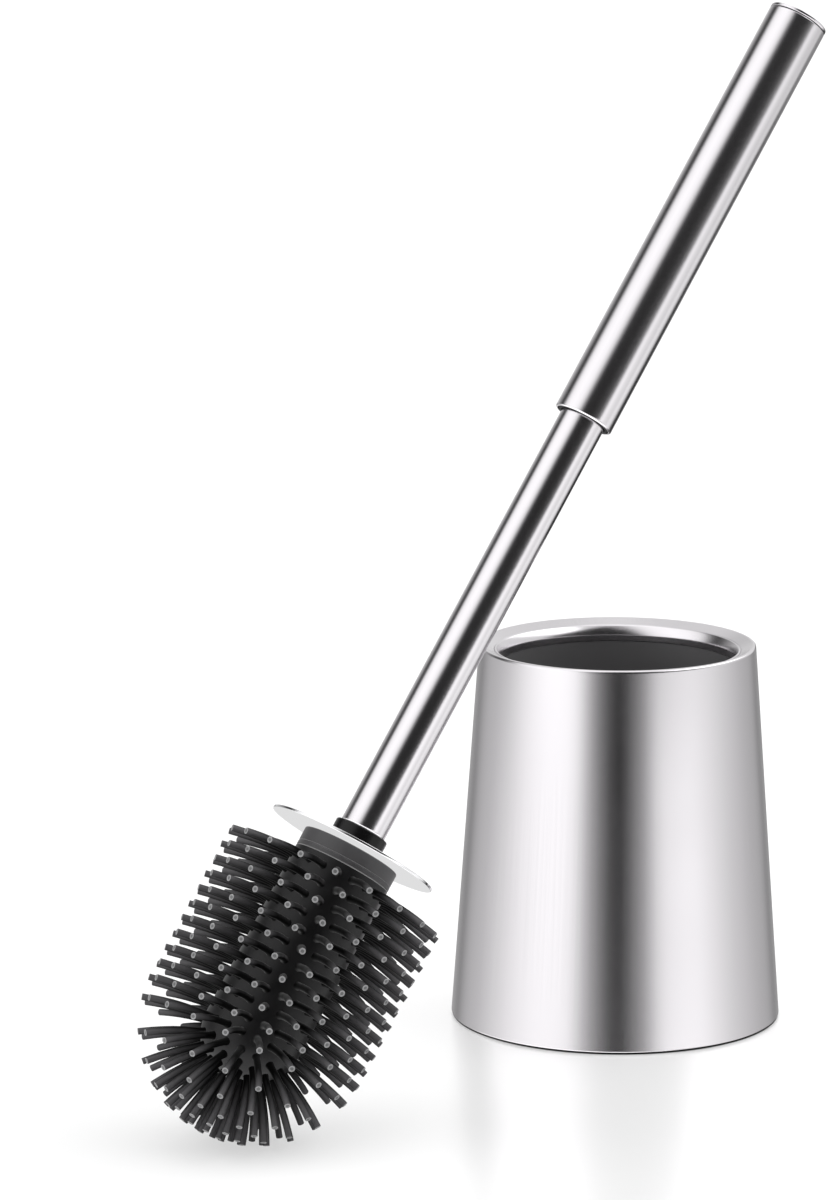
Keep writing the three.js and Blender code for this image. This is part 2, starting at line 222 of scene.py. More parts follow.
def polished_steel(name, color, roughness):
    """Thin pressed sheet with a near-mirror finish and faint turning marks."""
    material, tree, shader = new_material(name)
    coordinates = add(tree, "ShaderNodeTexCoord")
    radius = add(tree, "ShaderNodeVectorMath", operation="LENGTH")
    flat = add(tree, "ShaderNodeVectorMath", operation="MULTIPLY", in_1=(1, 1, 0))
    tree.links.new(coordinates.outputs["Object"], flat.inputs[0])
    tree.links.new(flat.outputs["Vector"], radius.inputs[0])
    rings = add(tree, "ShaderNodeTexNoise", noise_dimensions="1D", in_Scale=4000.0, in_Detail=2.0)
    tree.links.new(radius.outputs["Value"], rings.inputs["W"])
    dim = tuple(c * 0.96 for c in color)
    tree.links.new(two_tone(tree, rings.outputs["Fac"], dim, color), shader.inputs["Base Color"])
    gloss = remap(tree, rings.outputs["Fac"], roughness * 0.7, roughness * 1.3)
    tree.links.new(gloss, shader.inputs["Roughness"])
    shader.inputs["Metallic"].default_value = 1.0
    return material


def moulded_plastic(name, dark, light, roughness, texture_scale, specular=0.5):
    """Moulded plastic: a fine even texture with slow changes of gloss."""
    material, tree, shader = new_material(name)
    place = stretched(tree)
    pebble = noise(tree, place, texture_scale)
    cloud = noise(tree, place, scale=25.0, detail=2.0)
    tree.links.new(two_tone(tree, cloud, dark, light), shader.inputs["Base Color"])
    tree.links.new(remap(tree, cloud, roughness - 0.04, roughness + 0.05), shader.inputs["Roughness"])
    shader.inputs["Specular IOR Level"].default_value = specular
    bump(tree, shader, pebble, strength=0.15, distance=0.1 * MM)
    return material


def soft_rubber(name, dark, light, roughness, specular=0.5, sheen=0.1):
    """Soft moulded rubber: a slightly dusty skin over fine mould texture."""
    material, tree, shader = new_material(name)
    place = stretched(tree)
    grain = noise(tree, place, scale=1800.0, detail=2.0)
    cloud = noise(tree, place, scale=90.0)
    tree.links.new(two_tone(tree, cloud, dark, light), shader.inputs["Base Color"])
    tree.links.new(remap(tree, cloud, roughness - 0.05, roughness + 0.07), shader.inputs["Roughness"])
    shader.inputs["Specular IOR Level"].default_value = specular
    shader.inputs["Sheen Weight"].default_value = sheen
    shader.inputs["Sheen Roughness"].default_value = 0.5
    bump(tree, shader, grain, strength=0.12, distance=0.08 * MM)
    return material


def finger_rubber(name, painted_shade_tone, tip_tone, roughness):
    """Rubber of the fingers, with painted shade: dark between their roots and along their sides, lighter
    at the tips.
    """
    material, tree, shader = new_material(name)
    grain = noise(tree, stretched(tree), scale=1800.0, detail=2.0)
    cloud = noise(tree, stretched(tree), scale=160.0)
    # mottling: how much random cloud varies the tone. side_shade: painted shade, how much the sides
    # darken as they turn edge-on to the view. full_tone: where the ramp reaches the lit tip tone.
    mottling, side_shade, full_tone = 0.25, -1.1, 0.85
    coordinates = add(tree, "ShaderNodeTexCoord")
    # Heights above the round end count as 0, so the gap there is the distance from the axis. In the
    # round end it is the distance from its middle.
    below = add(tree, "ShaderNodeVectorMath", operation="MINIMUM", in_1=(1.0, 1.0, 0.0))
    tree.links.new(coordinates.outputs["Object"], below.inputs[0])
    gap = add(tree, "ShaderNodeVectorMath", operation="LENGTH")
    tree.links.new(below.outputs["Vector"], gap.inputs[0])
    # Painted shade: the tone is darkest at the roots near the backing and lightens out to the tips.
    out = remap(tree, gap.outputs["Value"], 0.0, 1.0, CORE_R + 2 * MM, TIP_R)
    mottle_and_root_shade = add(tree, "ShaderNodeMath", operation="MULTIPLY_ADD", in_1=mottling)
    tree.links.new(cloud, mottle_and_root_shade.inputs[0])
    tree.links.new(out, mottle_and_root_shade.inputs[2])
    # Painted shade along the sides: the tone darkens where the surface turns edge-on to the view.
    facing = add(tree, "ShaderNodeLayerWeight", in_Blend=0.5).outputs["Facing"]
    crown = add(tree, "ShaderNodeMath", operation="MULTIPLY_ADD", in_1=side_shade)
    tree.links.new(facing, crown.inputs[0])
    tree.links.new(mottle_and_root_shade.outputs["Value"], crown.inputs[2])
    tone = two_tone(tree, crown.outputs["Value"], painted_shade_tone, tip_tone, 0.0, full_tone)
    tree.links.new(tone, shader.inputs["Base Color"])
    gloss = remap(tree, cloud, roughness - 0.05, roughness + 0.07)
    tree.links.new(gloss, shader.inputs["Roughness"])
    shader.inputs["Specular IOR Level"].default_value = 0.01
    bump(tree, shader, grain, strength=0.12, distance=0.08 * MM)
    return material


def plated(name, color, roughness):
    """Plated or turned small hardware: patchy sheen and fine turning lines."""
    material, tree, shader = new_material(name)
    lines = noise(tree, stretched(tree, (60, 60, 2600)), scale=1.0, detail=2.0)
    patch = noise(tree, stretched(tree), scale=260.0)
    dim = tuple(c * 0.82 for c in color)
    tree.links.new(two_tone(tree, patch, dim, color), shader.inputs["Base Color"])
    tree.links.new(remap(tree, patch, roughness, roughness + 0.15), shader.inputs["Roughness"])
    shader.inputs["Metallic"].default_value = 1.0
    bump(tree, shader, lines, strength=0.2, distance=0.1 * MM)
    return material


def foam(name):
    """Closed-cell foam with open pores on its cut face."""
    material, tree, shader = new_material(name)
    place = stretched(tree)
    cells = add(tree, "ShaderNodeTexVoronoi", in_Scale=1400.0)
    tree.links.new(place, cells.inputs["Vector"])
    pore, skin = (0.008, 0.008, 0.009), (0.03, 0.03, 0.032)
    tint = two_tone(tree, cells.outputs["Distance"], pore, skin, 0.0, 0.6)
    tree.links.new(tint, shader.inputs["Base Color"])
    shader.inputs["Roughness"].default_value = 0.95
    bump(tree, shader, cells.outputs["Distance"], strength=0.5, distance=0.2 * MM)
    return material


STEEL_TINT = (0.668, 0.65, 0.67)
SHELL_STEEL = brushed_steel(
    "shell_brushed_steel", STEEL_TINT, roughness=0.2, grain_per_turn=420.0, streak_per_m=9.0
)
HANDLE_STEEL = brushed_steel(
    "handle_satin_steel", STEEL_TINT, roughness=0.17, grain_per_turn=130.0, streak_per_m=6.0
)
DISC_STEEL = polished_steel("disc_polished_steel", (0.74, 0.74, 0.75), roughness=0.05)
LINER_PLASTIC = moulded_plastic(
    "liner_black_plastic",
    dark=(0.1, 0.099, 0.101),
    light=(0.12, 0.118, 0.121),
    roughness=0.4,
    texture_scale=1200.0,
)
BLACK_PLASTIC = moulded_plastic(
    "black_plastic",
    dark=(0.004, 0.0039, 0.0042),
    light=(0.007, 0.0068, 0.0072),
    roughness=0.26,
    texture_scale=1500.0,
    specular=0.2,
)
PLUG_PLASTIC = moulded_plastic(
    "plug_black_plastic",
    dark=(0.004, 0.004, 0.0042),
    light=(0.008, 0.008, 0.0083),
    roughness=0.5,
    texture_scale=1500.0,
    specular=0.08,
)
# Fingers: the dark tone is painted shade at the roots and along the sides, and the tip tone is the lit
# tone.
RUBBER = finger_rubber(
    "grey_rubber", painted_shade_tone=(0.001, 0.001, 0.001), tip_tone=(0.14, 0.137, 0.142), roughness=0.4
)
NECK_RUBBER = soft_rubber(
    "grey_rubber_neck",
    dark=(0.075, 0.0735, 0.076),
    light=(0.095, 0.093, 0.096),
    roughness=0.42,
    specular=0.3,
    sheen=0.05,
)
CORE_RUBBER = soft_rubber(
    "grey_rubber_core",
    dark=(0.014, 0.0137, 0.0143),
    light=(0.024, 0.0235, 0.0245),
    roughness=0.36,
    specular=0.2,
    sheen=0.0,
)
# Painted highlight: the rounded rim of each finger's end is much lighter than the rest of the rubber,
# standing in for the light it catches.
RUBBER_END_HIGHLIGHT = soft_rubber(
    "grey_rubber_end_rim_highlight", dark=(0.3, 0.3, 0.305), light=(0.4, 0.4, 0.405), roughness=0.5
)
RUBBER_DISH = soft_rubber(
    "grey_rubber_end_dish", dark=(0.13, 0.13, 0.132), light=(0.18, 0.18, 0.183), roughness=0.5
)
FOAM = foam("black_foam")
ZINC = plated("zinc_plate", (0.58, 0.59, 0.6), roughness=0.3)
BRASS = plated("turned_brass", (0.62, 0.44, 0.18), roughness=0.28)

# ------------------------------------------------------------------ mesh helpers

SHARP_ANGLE = math.radians(38)
ON_AXIS = 1e-9  # a smaller radius is a pole


def arc(cx, cz, r, start, end, steps):
    """Points of an arc in (radius, z), both ends included; angles in degrees."""
    turns = [math.radians(start + (end - start) * i / steps) for i in range(steps + 1)]
    return [(cx + r * math.cos(t), cz + r * math.sin(t)) for t in turns]


def finish_mesh(name, mesh_data, materials, body, space, hidden):
    """Makes the piece, sets its place, parents it to the body it rides on and hides the CAD parts it
    stands in for.
    """
    mesh = bpy.data.meshes.new(name)
    mesh_data.normal_update()
    mesh_data.to_mesh(mesh)
    mesh_data.free()
    mesh.shade_smooth()
    mesh.set_sharp_from_angle(angle=SHARP_ANGLE)
    for material in materials:
        mesh.materials.append(material)
    piece = bpy.data.objects.new(name, mesh)
    bpy.context.scene.collection.objects.link(piece)
    piece.matrix_world = space
    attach(piece, body)
    if hidden:
        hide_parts(*hidden)
    return piece


def held(outline):
    """Adds a point near both ends of each long straight run, which keeps its shading flat."""
    hold, long_run = 0.25 * MM, 1.5 * MM
    points = []
    for here, there in zip(outline, [*outline[1:], outline[0]]):
        points.append(here)
        length = math.dist(here, there)
        if length > long_run:
            for share in (hold / length, 1 - hold / length):
                points.append(tuple(a + (b - a) * share for a, b in zip(here, there)))
    return points


def turned(name, outline, material, body, space=None, hidden=(), segments=96):
    """A closed (radius, z) outline, anticlockwise, turned about Z."""
    outline = held(outline)
    mesh_data = bmesh.new()
    columns = []
    for i in range(segments):
        turn = 2 * math.pi * i / segments
        c, s = math.cos(turn), math.sin(turn)
        column = [mesh_data.verts.new((r * c, r * s, z)) if r > ON_AXIS else None for r, z in outline]
        columns.append(column)
    poles = {k: mesh_data.verts.new((0, 0, z)) for k, (r, z) in enumerate(outline) if r <= ON_AXIS}
    count = len(outline)
    for i in range(segments):
        here, there = columns[i], columns[(i + 1) % segments]
        for k in range(count):
            n = (k + 1) % count
            if k in poles and n in poles:
                continue
            if k in poles:
                corners = (poles[k], there[n], here[n])
            elif n in poles:
                corners = (here[k], there[k], poles[n])
            else:
                corners = (here[k], there[k], there[n], here[n])
            mesh_data.faces.new(corners)
    return finish_mesh(name, mesh_data, [material], body, space or Matrix.Identity(4), hidden)


def ring_outline(inner, outer, low, high, edge):
    """A ring whose outer corners are rounded with radius edge."""
    return [
        (inner, low),
        *arc(outer - edge, low + edge, edge, -90, 0, 4),
        *arc(outer - edge, high - edge, edge, 0, 90, 4),
        (inner, high),
    ]


# ------------------------------------------------------------------ holder


def shell_outline():
    """The shell's section: hem, wall, tight outer edge, dished top, valley, lip, and back inside."""
    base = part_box("outer_shell")[1].x
    hem_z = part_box("outer_shell")[0].z
    top = 126.4 * MM
    sheet, hem, hem_depth = 0.8 * MM, 0.25 * MM, 2.4 * MM
    bead, bead_inside = 0.9 * MM, 0.15 * MM
    shoulder, mouth, lip_end = 46.1 * MM, 38.89 * MM, 119.4 * MM
    draft = math.degrees(math.atan((base - shoulder) / (top - hem_z)))
    bead_x, bead_z = shoulder - bead, top - bead
    lip, lip_x, lip_z = 0.5 * MM, 40.58 * MM, top - 2.2 * MM
    fall, fall_x, fall_z = 8.0 * MM, 46.72 * MM, top - 6.5 * MM
    foot, foot_x, foot_z = 3.0 * MM, 41.89 * MM, top - 5.21 * MM
    valley = [(41.15 * MM, top - 1.83 * MM), (40.94 * MM, top - 2.06 * MM)]
    valley_inside = (41.1 * MM, top - 1.95 * MM - sheet)
    outside = [
        (base - hem_depth, hem_z),
        *arc(base - hem, hem_z + hem, hem, -90, draft, 6),
        *arc(bead_x, bead_z, bead, draft, 108, 14),
        *valley,
        *arc(lip_x, lip_z, lip, 50, 140, 12),
        *arc(fall_x, fall_z, fall, 145, 165, 8),
        *arc(foot_x, foot_z, foot, 168, 178, 4),
        (mouth, lip_end + 0.3 * MM),
        (mouth + 0.25 * MM, lip_end),
    ]
    inside = [
        (mouth + sheet, lip_end),
        (mouth + sheet, top - 5.1 * MM),
        *arc(fall_x, fall_z, fall - sheet, 165, 148, 6),
        valley_inside,
        *arc(bead_x, bead_z, bead_inside, 108, draft, 6),
        (base - sheet - 0.1 * MM, hem_z + 1.2 * MM),
        (base - hem_depth, hem_z + sheet),
    ]
    return outside + inside


def base_edge_outline():
    """Thin black edge that the base plate shows below the shell's hem."""
    gap, proud, depth = 0.05 * MM, 0.55 * MM, 3 * MM
    low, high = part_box("base_plate")[0].z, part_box("outer_shell")[0].z - gap
    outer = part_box("base_plate")[1].x + proud
    return [
        (outer - depth, low),
        (outer - 0.2 * MM, low),
        (outer, low + 0.15 * MM),
        (outer, high),
        (outer - depth, high),
    ]


def make_holder():
    """Shell, the black line under it and the liner."""
    turned(
        "holder_shell",
        shell_outline(),
        SHELL_STEEL,
        "holder",
        hidden=["outer_shell"],
        segments=256,
    )
    turned("base_edge", base_edge_outline(), BLACK_PLASTIC, "holder", segments=256)
    turned(
        "holder_liner",
        liner_outline(),
        LINER_PLASTIC,
        "holder",
        hidden=["inner_cup"],
        segments=192,
    )


def liner_outline():
    """A smooth tapered cup with a rounded floor edge and a low ring on its floor."""
    wall, corner = 1.5 * MM, 5 * MM
    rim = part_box("inner_cup")[1]
    top_r, top = rim.x, rim.z + 0.3 * MM
    foot_r, floor = 37.4 * MM, 6.2 * MM
    ring_in, ring_out, ring_rise = 17 * MM, 20 * MM, 0.8 * MM
    return [
        (0, floor),
        *arc(foot_r - corner, floor + corner, corner, -90, 0, 8),
        (top_r, top),
        (top_r - wall, top),
        *arc(foot_r - corner, floor + corner, corner - wall, 0, -90, 8),
        (ring_out, floor + wall),
        (ring_out - ring_rise, floor + wall + ring_rise),
        (ring_in + ring_rise, floor + wall + ring_rise),
        (ring_in, floor + wall),
        (0, floor + wall),
    ]


# ------------------------------------------------------------------ bristle head


def on_circle(cz, r, degrees):
    """A point in (radius, z) on a circle about the axis."""
    t = math.radians(degrees)
    return Vector((r * math.cos(t), cz + r * math.sin(t)))


SKINS = [RUBBER, RUBBER_END_HIGHLIGHT, RUBBER_DISH, CORE_RUBBER]


def finger_rings():
    """Each ring of fingers: root and tip in (radius, z), count, turn in degrees, bulge."""
    rings = []
    for i in range(RINGS):
        z = RING_1_Z - i * RING_PITCH
        root, tip = Vector((CORE_R, z)), Vector((TIP_R, z - DROOP))
        rings.append((root, tip, FINGERS, RING_1_TURN + i * RING_TWIST, DROOP))
    for root_down, tip_down, count, turn in FAN:
        root, tip = on_circle(DOME_Z, CORE_R, -root_down), on_circle(0, TIP_R, -tip_down)
        rings.append((root, tip, count, turn, DROOP * math.cos(math.radians(root_down))))
    rings.append((Vector((0, DOME_Z - CORE_R)), Vector((0, -TIP_R)), 1, 0, 0))
    return rings


def finger_stations(length):
    """Places along a finger, as shares of its length, and its widths there, as shares of its radius."""
    sunk, rim, dish = 0.9 * MM / length, 0.1 * MM / length, 0.12 * MM / length
    flare = [(-sunk, 1.32), (0.0, 1.22), (0.045, 1.08), (0.11, 1.01)]
    steps, run, taper = 8, 0.85, 0.1
    flare_end, flare_width = flare[-1]
    body = [(flare_end + run * i / steps, flare_width - taper * i / steps) for i in range(1, steps + 1)]
    dished_end = [(1 - rim, 0.905), (1.0, 0.82), (1.0, 0.62), (1 - dish, 0.5)]
    return flare + body + dished_end


def finger(mesh_data, root, tip, turn, bulge):
    """One curved finger: a flared root, a round body with a slight taper and a dished flat end."""
    sides, end_loops = 12, 4
    chord = tip - root
    side = Vector((-chord.y, chord.x)).normalized()
    c, s = math.cos(turn), math.sin(turn)
    across = Vector((-s, c, 0))
    loops = []
    for place, size in finger_stations(chord.length):
        t = max(place, 0.0)
        flat = root + chord * place + side * bulge * t * (1 - t)
        slope = chord + side * bulge * (1 - 2 * t)
        up = Vector((-slope.y, slope.x)).normalized()
        centre = Vector((flat.x * c, flat.x * s, flat.y))
        rise = Vector((up.x * c, up.x * s, up.y))
        loop = []
        for k in range(sides):
            angle = 2 * math.pi * k / sides
            point = centre + (rise * math.cos(angle) + across * math.sin(angle)) * FINGER_R * size
            loop.append(mesh_data.verts.new(point))
        loops.append(loop)
    for i in range(len(loops) - 1):
        for k in range(sides):
            n = (k + 1) % sides
            face = mesh_data.faces.new((loops[i][k], loops[i][n], loops[i + 1][n], loops[i + 1][k]))
            # The end rim gets the lighter end rubber, a painted highlight.
            face.material_index = SKINS.index(RUBBER_END_HIGHLIGHT if i >= len(loops) - end_loops else RUBBER)
    mesh_data.faces.new(loops[-1]).material_index = SKINS.index(RUBBER_DISH)
    mesh_data.faces.new(list(reversed(loops[0])))


def sleeve(mesh_data, outline, segments=96):
    """The rubber backing of a slice, added to the same mesh as its fingers."""
    columns = []
    for i in range(segments):
        t = 2 * math.pi * i / segments
        column = [mesh_data.verts.new((r * math.cos(t), r * math.sin(t), z)) for r, z in outline]
        columns.append(column)
    for i in range(segments):
        here, there = columns[i], columns[(i + 1) % segments]
        for k in range(len(outline)):
            n = (k + 1) % len(outline)
            face = mesh_data.faces.new((here[k], there[k], there[n], here[n]))
            face.material_index = SKINS.index(CORE_RUBBER)


def sleeve_outline(low, high):
    """A plain stretch of the backing."""
    return [(CORE_BORE, low), (CORE_R, low), (CORE_R, high), (CORE_BORE, high)]


def dome_outline(high):
    """The backing's closed end, left open by a pinhole at the pole."""
    near_pole = -89.5
    return [
        *arc(0, DOME_Z, CORE_R, near_pole, 0, 20),
        (CORE_R, high),
        (CORE_BORE, high),
        *arc(0, DOME_Z, CORE_BORE, 0, near_pole, 12),
    ]


def make_bristles():
    """Four pieces, one for each CAD slice, with smooth round fingers in the same places."""
    slices = ["bristle_sleeve_upper", "bristle_sleeve_middle", "bristle_sleeve_lower", "bristle_tip"]
    top = span("neck_cap")[0] - 0.3 * MM
    halfway = [RING_1_Z - (n - 1.5) * RING_PITCH for n in SLICE_STARTS]  # half a pitch above ring n
    below_all = -1.0
    bounds = [top, *halfway, below_all]
    for name, high, low in zip(slices, bounds, bounds[1:]):
        mesh_data = bmesh.new()
        sleeve(mesh_data, dome_outline(high) if low == below_all else sleeve_outline(low, high))
        for root, tip, count, turn, bulge in finger_rings():
            if not low <= root.y < high:
                continue
            for i in range(count):
                finger(mesh_data, root, tip, math.radians(turn + 360 * i / count), bulge)
        piece_name = name.replace("bristle", "fingers")
        piece = finish_mesh(piece_name, mesh_data, SKINS, "brush_head", BRUSH, [name])
        piece.visible_glossy = False


def make_neck():
    """Rubber neck with a rounded top edge and a fine groove near its foot."""
    low, high = span("neck_cap")
    edge, foot = 0.5 * MM, 0.25 * MM
    groove, half, deep, narrowing = low + 1.5 * MM, 0.2 * MM, 0.35 * MM, 0.6
    outline = [
        (CORE_BORE, low),
        *arc(CORE_R - foot, low + foot, foot, -90, 0, 4),
        (CORE_R, groove - half),
        (CORE_R - deep, groove - half * narrowing),
        (CORE_R - deep, groove + half * narrowing),
        (CORE_R, groove + half),
        *arc(CORE_R - edge, high - edge, edge, 0, 90, 8),
        (CORE_BORE, high),
    ]
    neck = turned("neck", outline, NECK_RUBBER, "brush_head", BRUSH, ["neck_cap"], 128)
    neck.visible_glossy = False


# ------------------------------------------------------------------ guard and handle


def node_ring(node, edge):
    """The section of a plain ring node, with its outer corners rounded."""
    low, high = span(node)
    inner, outer = reach(node)
    return ring_outline(inner, outer, low, high, edge)


def make_guard():
    """Polished disc and the black collar on it."""
    outline = node_ring("splash_disc", 0.15 * MM)
    disc = turned(
        "splash_plate", outline, DISC_STEEL, "splash_guard", BRUSH, ["splash_disc"], 192
    )
    disc.visible_glossy = False
    outline = node_ring("seal_collar", 0.5 * MM)
    collar = turned(
        "collar", outline, BLACK_PLASTIC, "splash_guard", BRUSH, ["seal_collar"]
    )
    collar.visible_glossy = False


def make_rod():
    """Thin tube between the collar and the grip."""
    outline = node_ring("rod_tube", 0.3 * MM)
    rod = turned("rod", outline, HANDLE_STEEL, "handle", BRUSH, ["rod_tube"], 128)
    rod.visible_glossy = False


def make_grip():
    """Wide tube with a rounded lower end, and the bushing that sits nearly flush in it."""
    low, high = span("grip_tube")
    inner, outer = reach("grip_tube")
    edge, top_edge = 0.65 * MM, 0.2 * MM
    outline = [
        (inner, low + 0.15 * MM),
        (inner + 0.1 * MM, low),
        *arc(outer - edge, low + edge, edge, -90, 0, 8),
        *arc(outer - top_edge, high - top_edge, top_edge, 0, 90, 3),
        (inner, high),
    ]
    turned("grip", outline, HANDLE_STEEL, "handle", BRUSH, ["grip_tube"], 128)

    recess, bushing_edge = 0.1 * MM, 0.15 * MM
    bushing_top = span("grip_bushing_lower")[1]
    inner, outer = reach("grip_bushing_lower")
    outline = ring_outline(inner, outer, low + recess, bushing_top, bushing_edge)
    turned("bushing", outline, PLUG_PLASTIC, "handle", BRUSH, ["grip_bushing_lower"])


def make_cap():
    """Cap on the grip: a slightly crowned disc with a short spigot below."""
    seat, top = span("grip_tube")[1] + 0.3 * MM, span("end_cap")[1]
    outer = reach("end_cap")[1]
    spigot_r, spigot_length = 3 * MM, 3.9 * MM
    round_edge, edge, crown_rise, crown_steps = 0.45 * MM, 0.15 * MM, 0.1 * MM, 8
    crown = []
    for i in range(1, crown_steps + 1):
        outward = 1 - i / crown_steps
        crown.append(((outer - edge) * outward, top - crown_rise * outward**2))
    outline = [
        (0, seat - spigot_length),
        (spigot_r, seat - spigot_length),
        (spigot_r, seat),
        *arc(outer - round_edge, seat + round_edge, round_edge, -90, 0, 6),
        *arc(outer - edge, top - crown_rise - edge, edge, 0, 80, 4),
        *crown,
    ]
    turned("cap", outline, HANDLE_STEEL, "handle", BRUSH, ["end_cap"], 128)


def dress_inner_pieces():
    """Hidden CAD pieces keep their shape and get their own finish."""
    finishes = {
        "base_plate": BLACK_PLASTIC,
        "foot_pad": FOAM,
        "head_core": BLACK_PLASTIC,
        "thread_socket": BRASS,
        "threaded_stud": ZINC,
        "rod_end_insert": BLACK_PLASTIC,
        "rod_top_plug": BLACK_PLASTIC,
        "grip_bushing_upper": BLACK_PLASTIC,
        "end_cap_plug": BLACK_PLASTIC,
        "base_screw_1": ZINC,
        "base_screw_2": ZINC,
        "base_screw_3": ZINC,
    }
    for node, material in finishes.items():
        mesh = frame["nodes"][node].data
        mesh.materials.clear()
        mesh.materials.append(material)
    for node in ("head_core", "thread_socket", "threaded_stud", "rod_end_insert"):
        frame["nodes"][node].visible_glossy = False


# ------------------------------------------------------------------ studio


FLOOR_HALF = 12.0
FLOOR_ROUGHNESS = 0.24
FLOOR_IOR = 2.5
FLOOR_TONE = 0.7
LIFT = 0.29  # the floor's own light for the camera, which carries it up to white


def make_floor():
    """Large pale floor with a soft gloss. It isn't mirrored in the steel, which shows the studio."""
    mesh = bpy.data.meshes.new("floor")
    corners = [(FLOOR_HALF * x, FLOOR_HALF * y, 0) for x, y in ((-1, -1), (1, -1), (1, 1), (-1, 1))]
    mesh.from_pydata(corners, [], [(0, 1, 2, 3)])
    floor = bpy.data.objects.new("floor", mesh)
    bpy.context.scene.collection.objects.link(floor)
    floor.visible_glossy = False
    material, tree, shader = new_material("pale_floor")
    shader.inputs["Base Color"].default_value = (FLOOR_TONE, FLOOR_TONE, FLOOR_TONE, 1)
    shader.inputs["Roughness"].default_value = FLOOR_ROUGHNESS
    shader.inputs["IOR"].default_value = FLOOR_IOR
    camera_ray = add(tree, "ShaderNodeLightPath").outputs["Is Camera Ray"]
    shader.inputs["Emission Color"].default_value = (1, 1, 1, 1)
    lift = add(tree, "ShaderNodeMath", operation="MULTIPLY", in_1=LIFT)
    tree.links.new(camera_ray, lift.inputs[0])
    tree.links.new(lift.outputs["Value"], shader.inputs["Emission Strength"])
    mesh.materials.append(material)


def angle_ramp(tree, angle, stops):
    """Brightness by an angle in radians; stops are (degrees, brightness)."""
    place = add(tree, "ShaderNodeMapRange")
    place.inputs["From Min"].default_value = -math.pi
    place.inputs["From Max"].default_value = math.pi
    tree.links.new(angle, place.inputs["Value"])
    node = add(tree, "ShaderNodeValToRGB")
    ramp = node.color_ramp
    while len(ramp.elements) < len(stops):
        ramp.elements.new(0.5)
    for element, (degrees, value) in zip(ramp.elements, stops):
        element.position = (degrees + 180) / 360
        element.color = (value, value, value, 1)
    tree.links.new(place.outputs["Result"], node.inputs["Fac"])
    return node.outputs["Color"]


def part_between(tree, value, limits):
    """0 below the first limit, 1 above the second, with a soft change between."""
    part = add(tree, "ShaderNodeMapRange", interpolation_type="SMOOTHSTEP")
    part.inputs["From Min"].default_value, part.inputs["From Max"].default_value = limits
    tree.links.new(value, part.inputs["Value"])
    return part.outputs["Result"]


def rest_of(tree, part):
    """1 minus a part."""
    node = add(tree, "ShaderNodeMath", operation="SUBTRACT", in_0=1.0)
    tree.links.new(part, node.inputs[1])
    return node.outputs["Value"]


def blend(tree, part, lower, upper):
    """Goes from lower to upper as part goes from 0 to 1."""
    mix = add(tree, "ShaderNodeMix", data_type="RGBA")
    tree.links.new(part, mix.inputs["Factor"])
    tree.links.new(lower, mix.inputs["A"])
    tree.links.new(upper, mix.inputs["B"])
    return mix.outputs["Result"]


def math_node(tree, operation, first, second=None):
    node = add(tree, "ShaderNodeMath", operation=operation)
    tree.links.new(first, node.inputs[0])
    if second is not None:
        tree.links.new(second, node.inputs[1])
    return node.outputs["Value"]


def component(tree, direction, axis):
    """How far the direction points along an axis."""
    node = add(tree, "ShaderNodeVectorMath", operation="DOT_PRODUCT", in_1=tuple(axis))
    tree.links.new(direction, node.inputs[0])
    return node.outputs["Value"]


def flat_light(tree, value):
    node = add(tree, "ShaderNodeRGB")
    node.outputs[0].default_value = (value, value, value, 1)
    return node.outputs[0]


# Light low over the floor, by azimuth from the camera's side: what the upright shell mirrors.
LOW_LIGHT = (
    (-180, 0.5), (-160, 0.4), (-148, 0.3), (-138, 0.52), (-128, 0.66), (-116, 0.74),
    (-106, 0.88), (-89, 1.1), (-74, 1.3), (-60, 1.43), (-47, 1.44), (-35, 1.4),
    (-23, 0.66), (-17, 0.42), (-11, 0.21), (-6, 0.06), (0, 0.0), (5, 0.09),
    (11, 0.34), (17, 0.52), (23, 0.92), (29, 1.42), (35, 1.6), (47, 1.66),
    (60, 1.6), (74, 1.26), (89, 0.96), (116, 0.68), (137, 0.54), (148, 0.3),
    (180, 0.5),
)
# Light round the handle, by angle about it from the camera's side: what rod and grip mirror.
RING_LIGHT = (
    (-180, 0.84), (-160, 0.75), (-148, 0.62), (-130, 0.32), (-120, 0.1), (-112, 0.05),
    (-106, 0.15), (-100, 0.55), (-93, 1.2), (-80, 1.48), (-62, 1.58), (-46, 1.48),
    (-36, 1.25), (-30, 0.95), (-23, 0.38), (-16, 0.07), (-8, 0.035), (8, 0.028),
    (22, 0.035), (31, 0.05), (40, 0.08), (54, 0.22), (62, 0.42), (71, 0.8),
    (81, 1.15), (98, 1.32), (114, 1.12), (124, 0.45), (131, 0.03), (172, 0.03),
    (176, 0.84), (180, 0.84),
)
# Flat lights off the ends of the handle: what the disc, the cap and other faces square to it mirror.
END_LIGHT_BELOW = 2.2
END_LIGHT_ABOVE = 0.95
END_PART = (0.45, 0.62)  # how far along the handle a direction points where these lights take over
MIDDLE_PART = (-0.1, 0.1)  # and where the one below changes into the one above
OVERHEAD_LIGHT = 1.65
OVERHEAD_PART = (0.88, 0.95)  # height of the direction, 1 being straight up
SIDE_LIGHT = 2.4
SIDE_PART = (0.4, 0.6)  # how far to the right the direction points, 1 being all the way
SIDE_FOOT = (0.34, 0.46)  # heights again, for the side light's foot and for the low light's foot and top
LOW_FOOT = (-0.335, -0.285)
LOW_TOP = (-0.063, -0.026)
TO_CAMERA = Vector((0, -1, 0.19)).normalized()


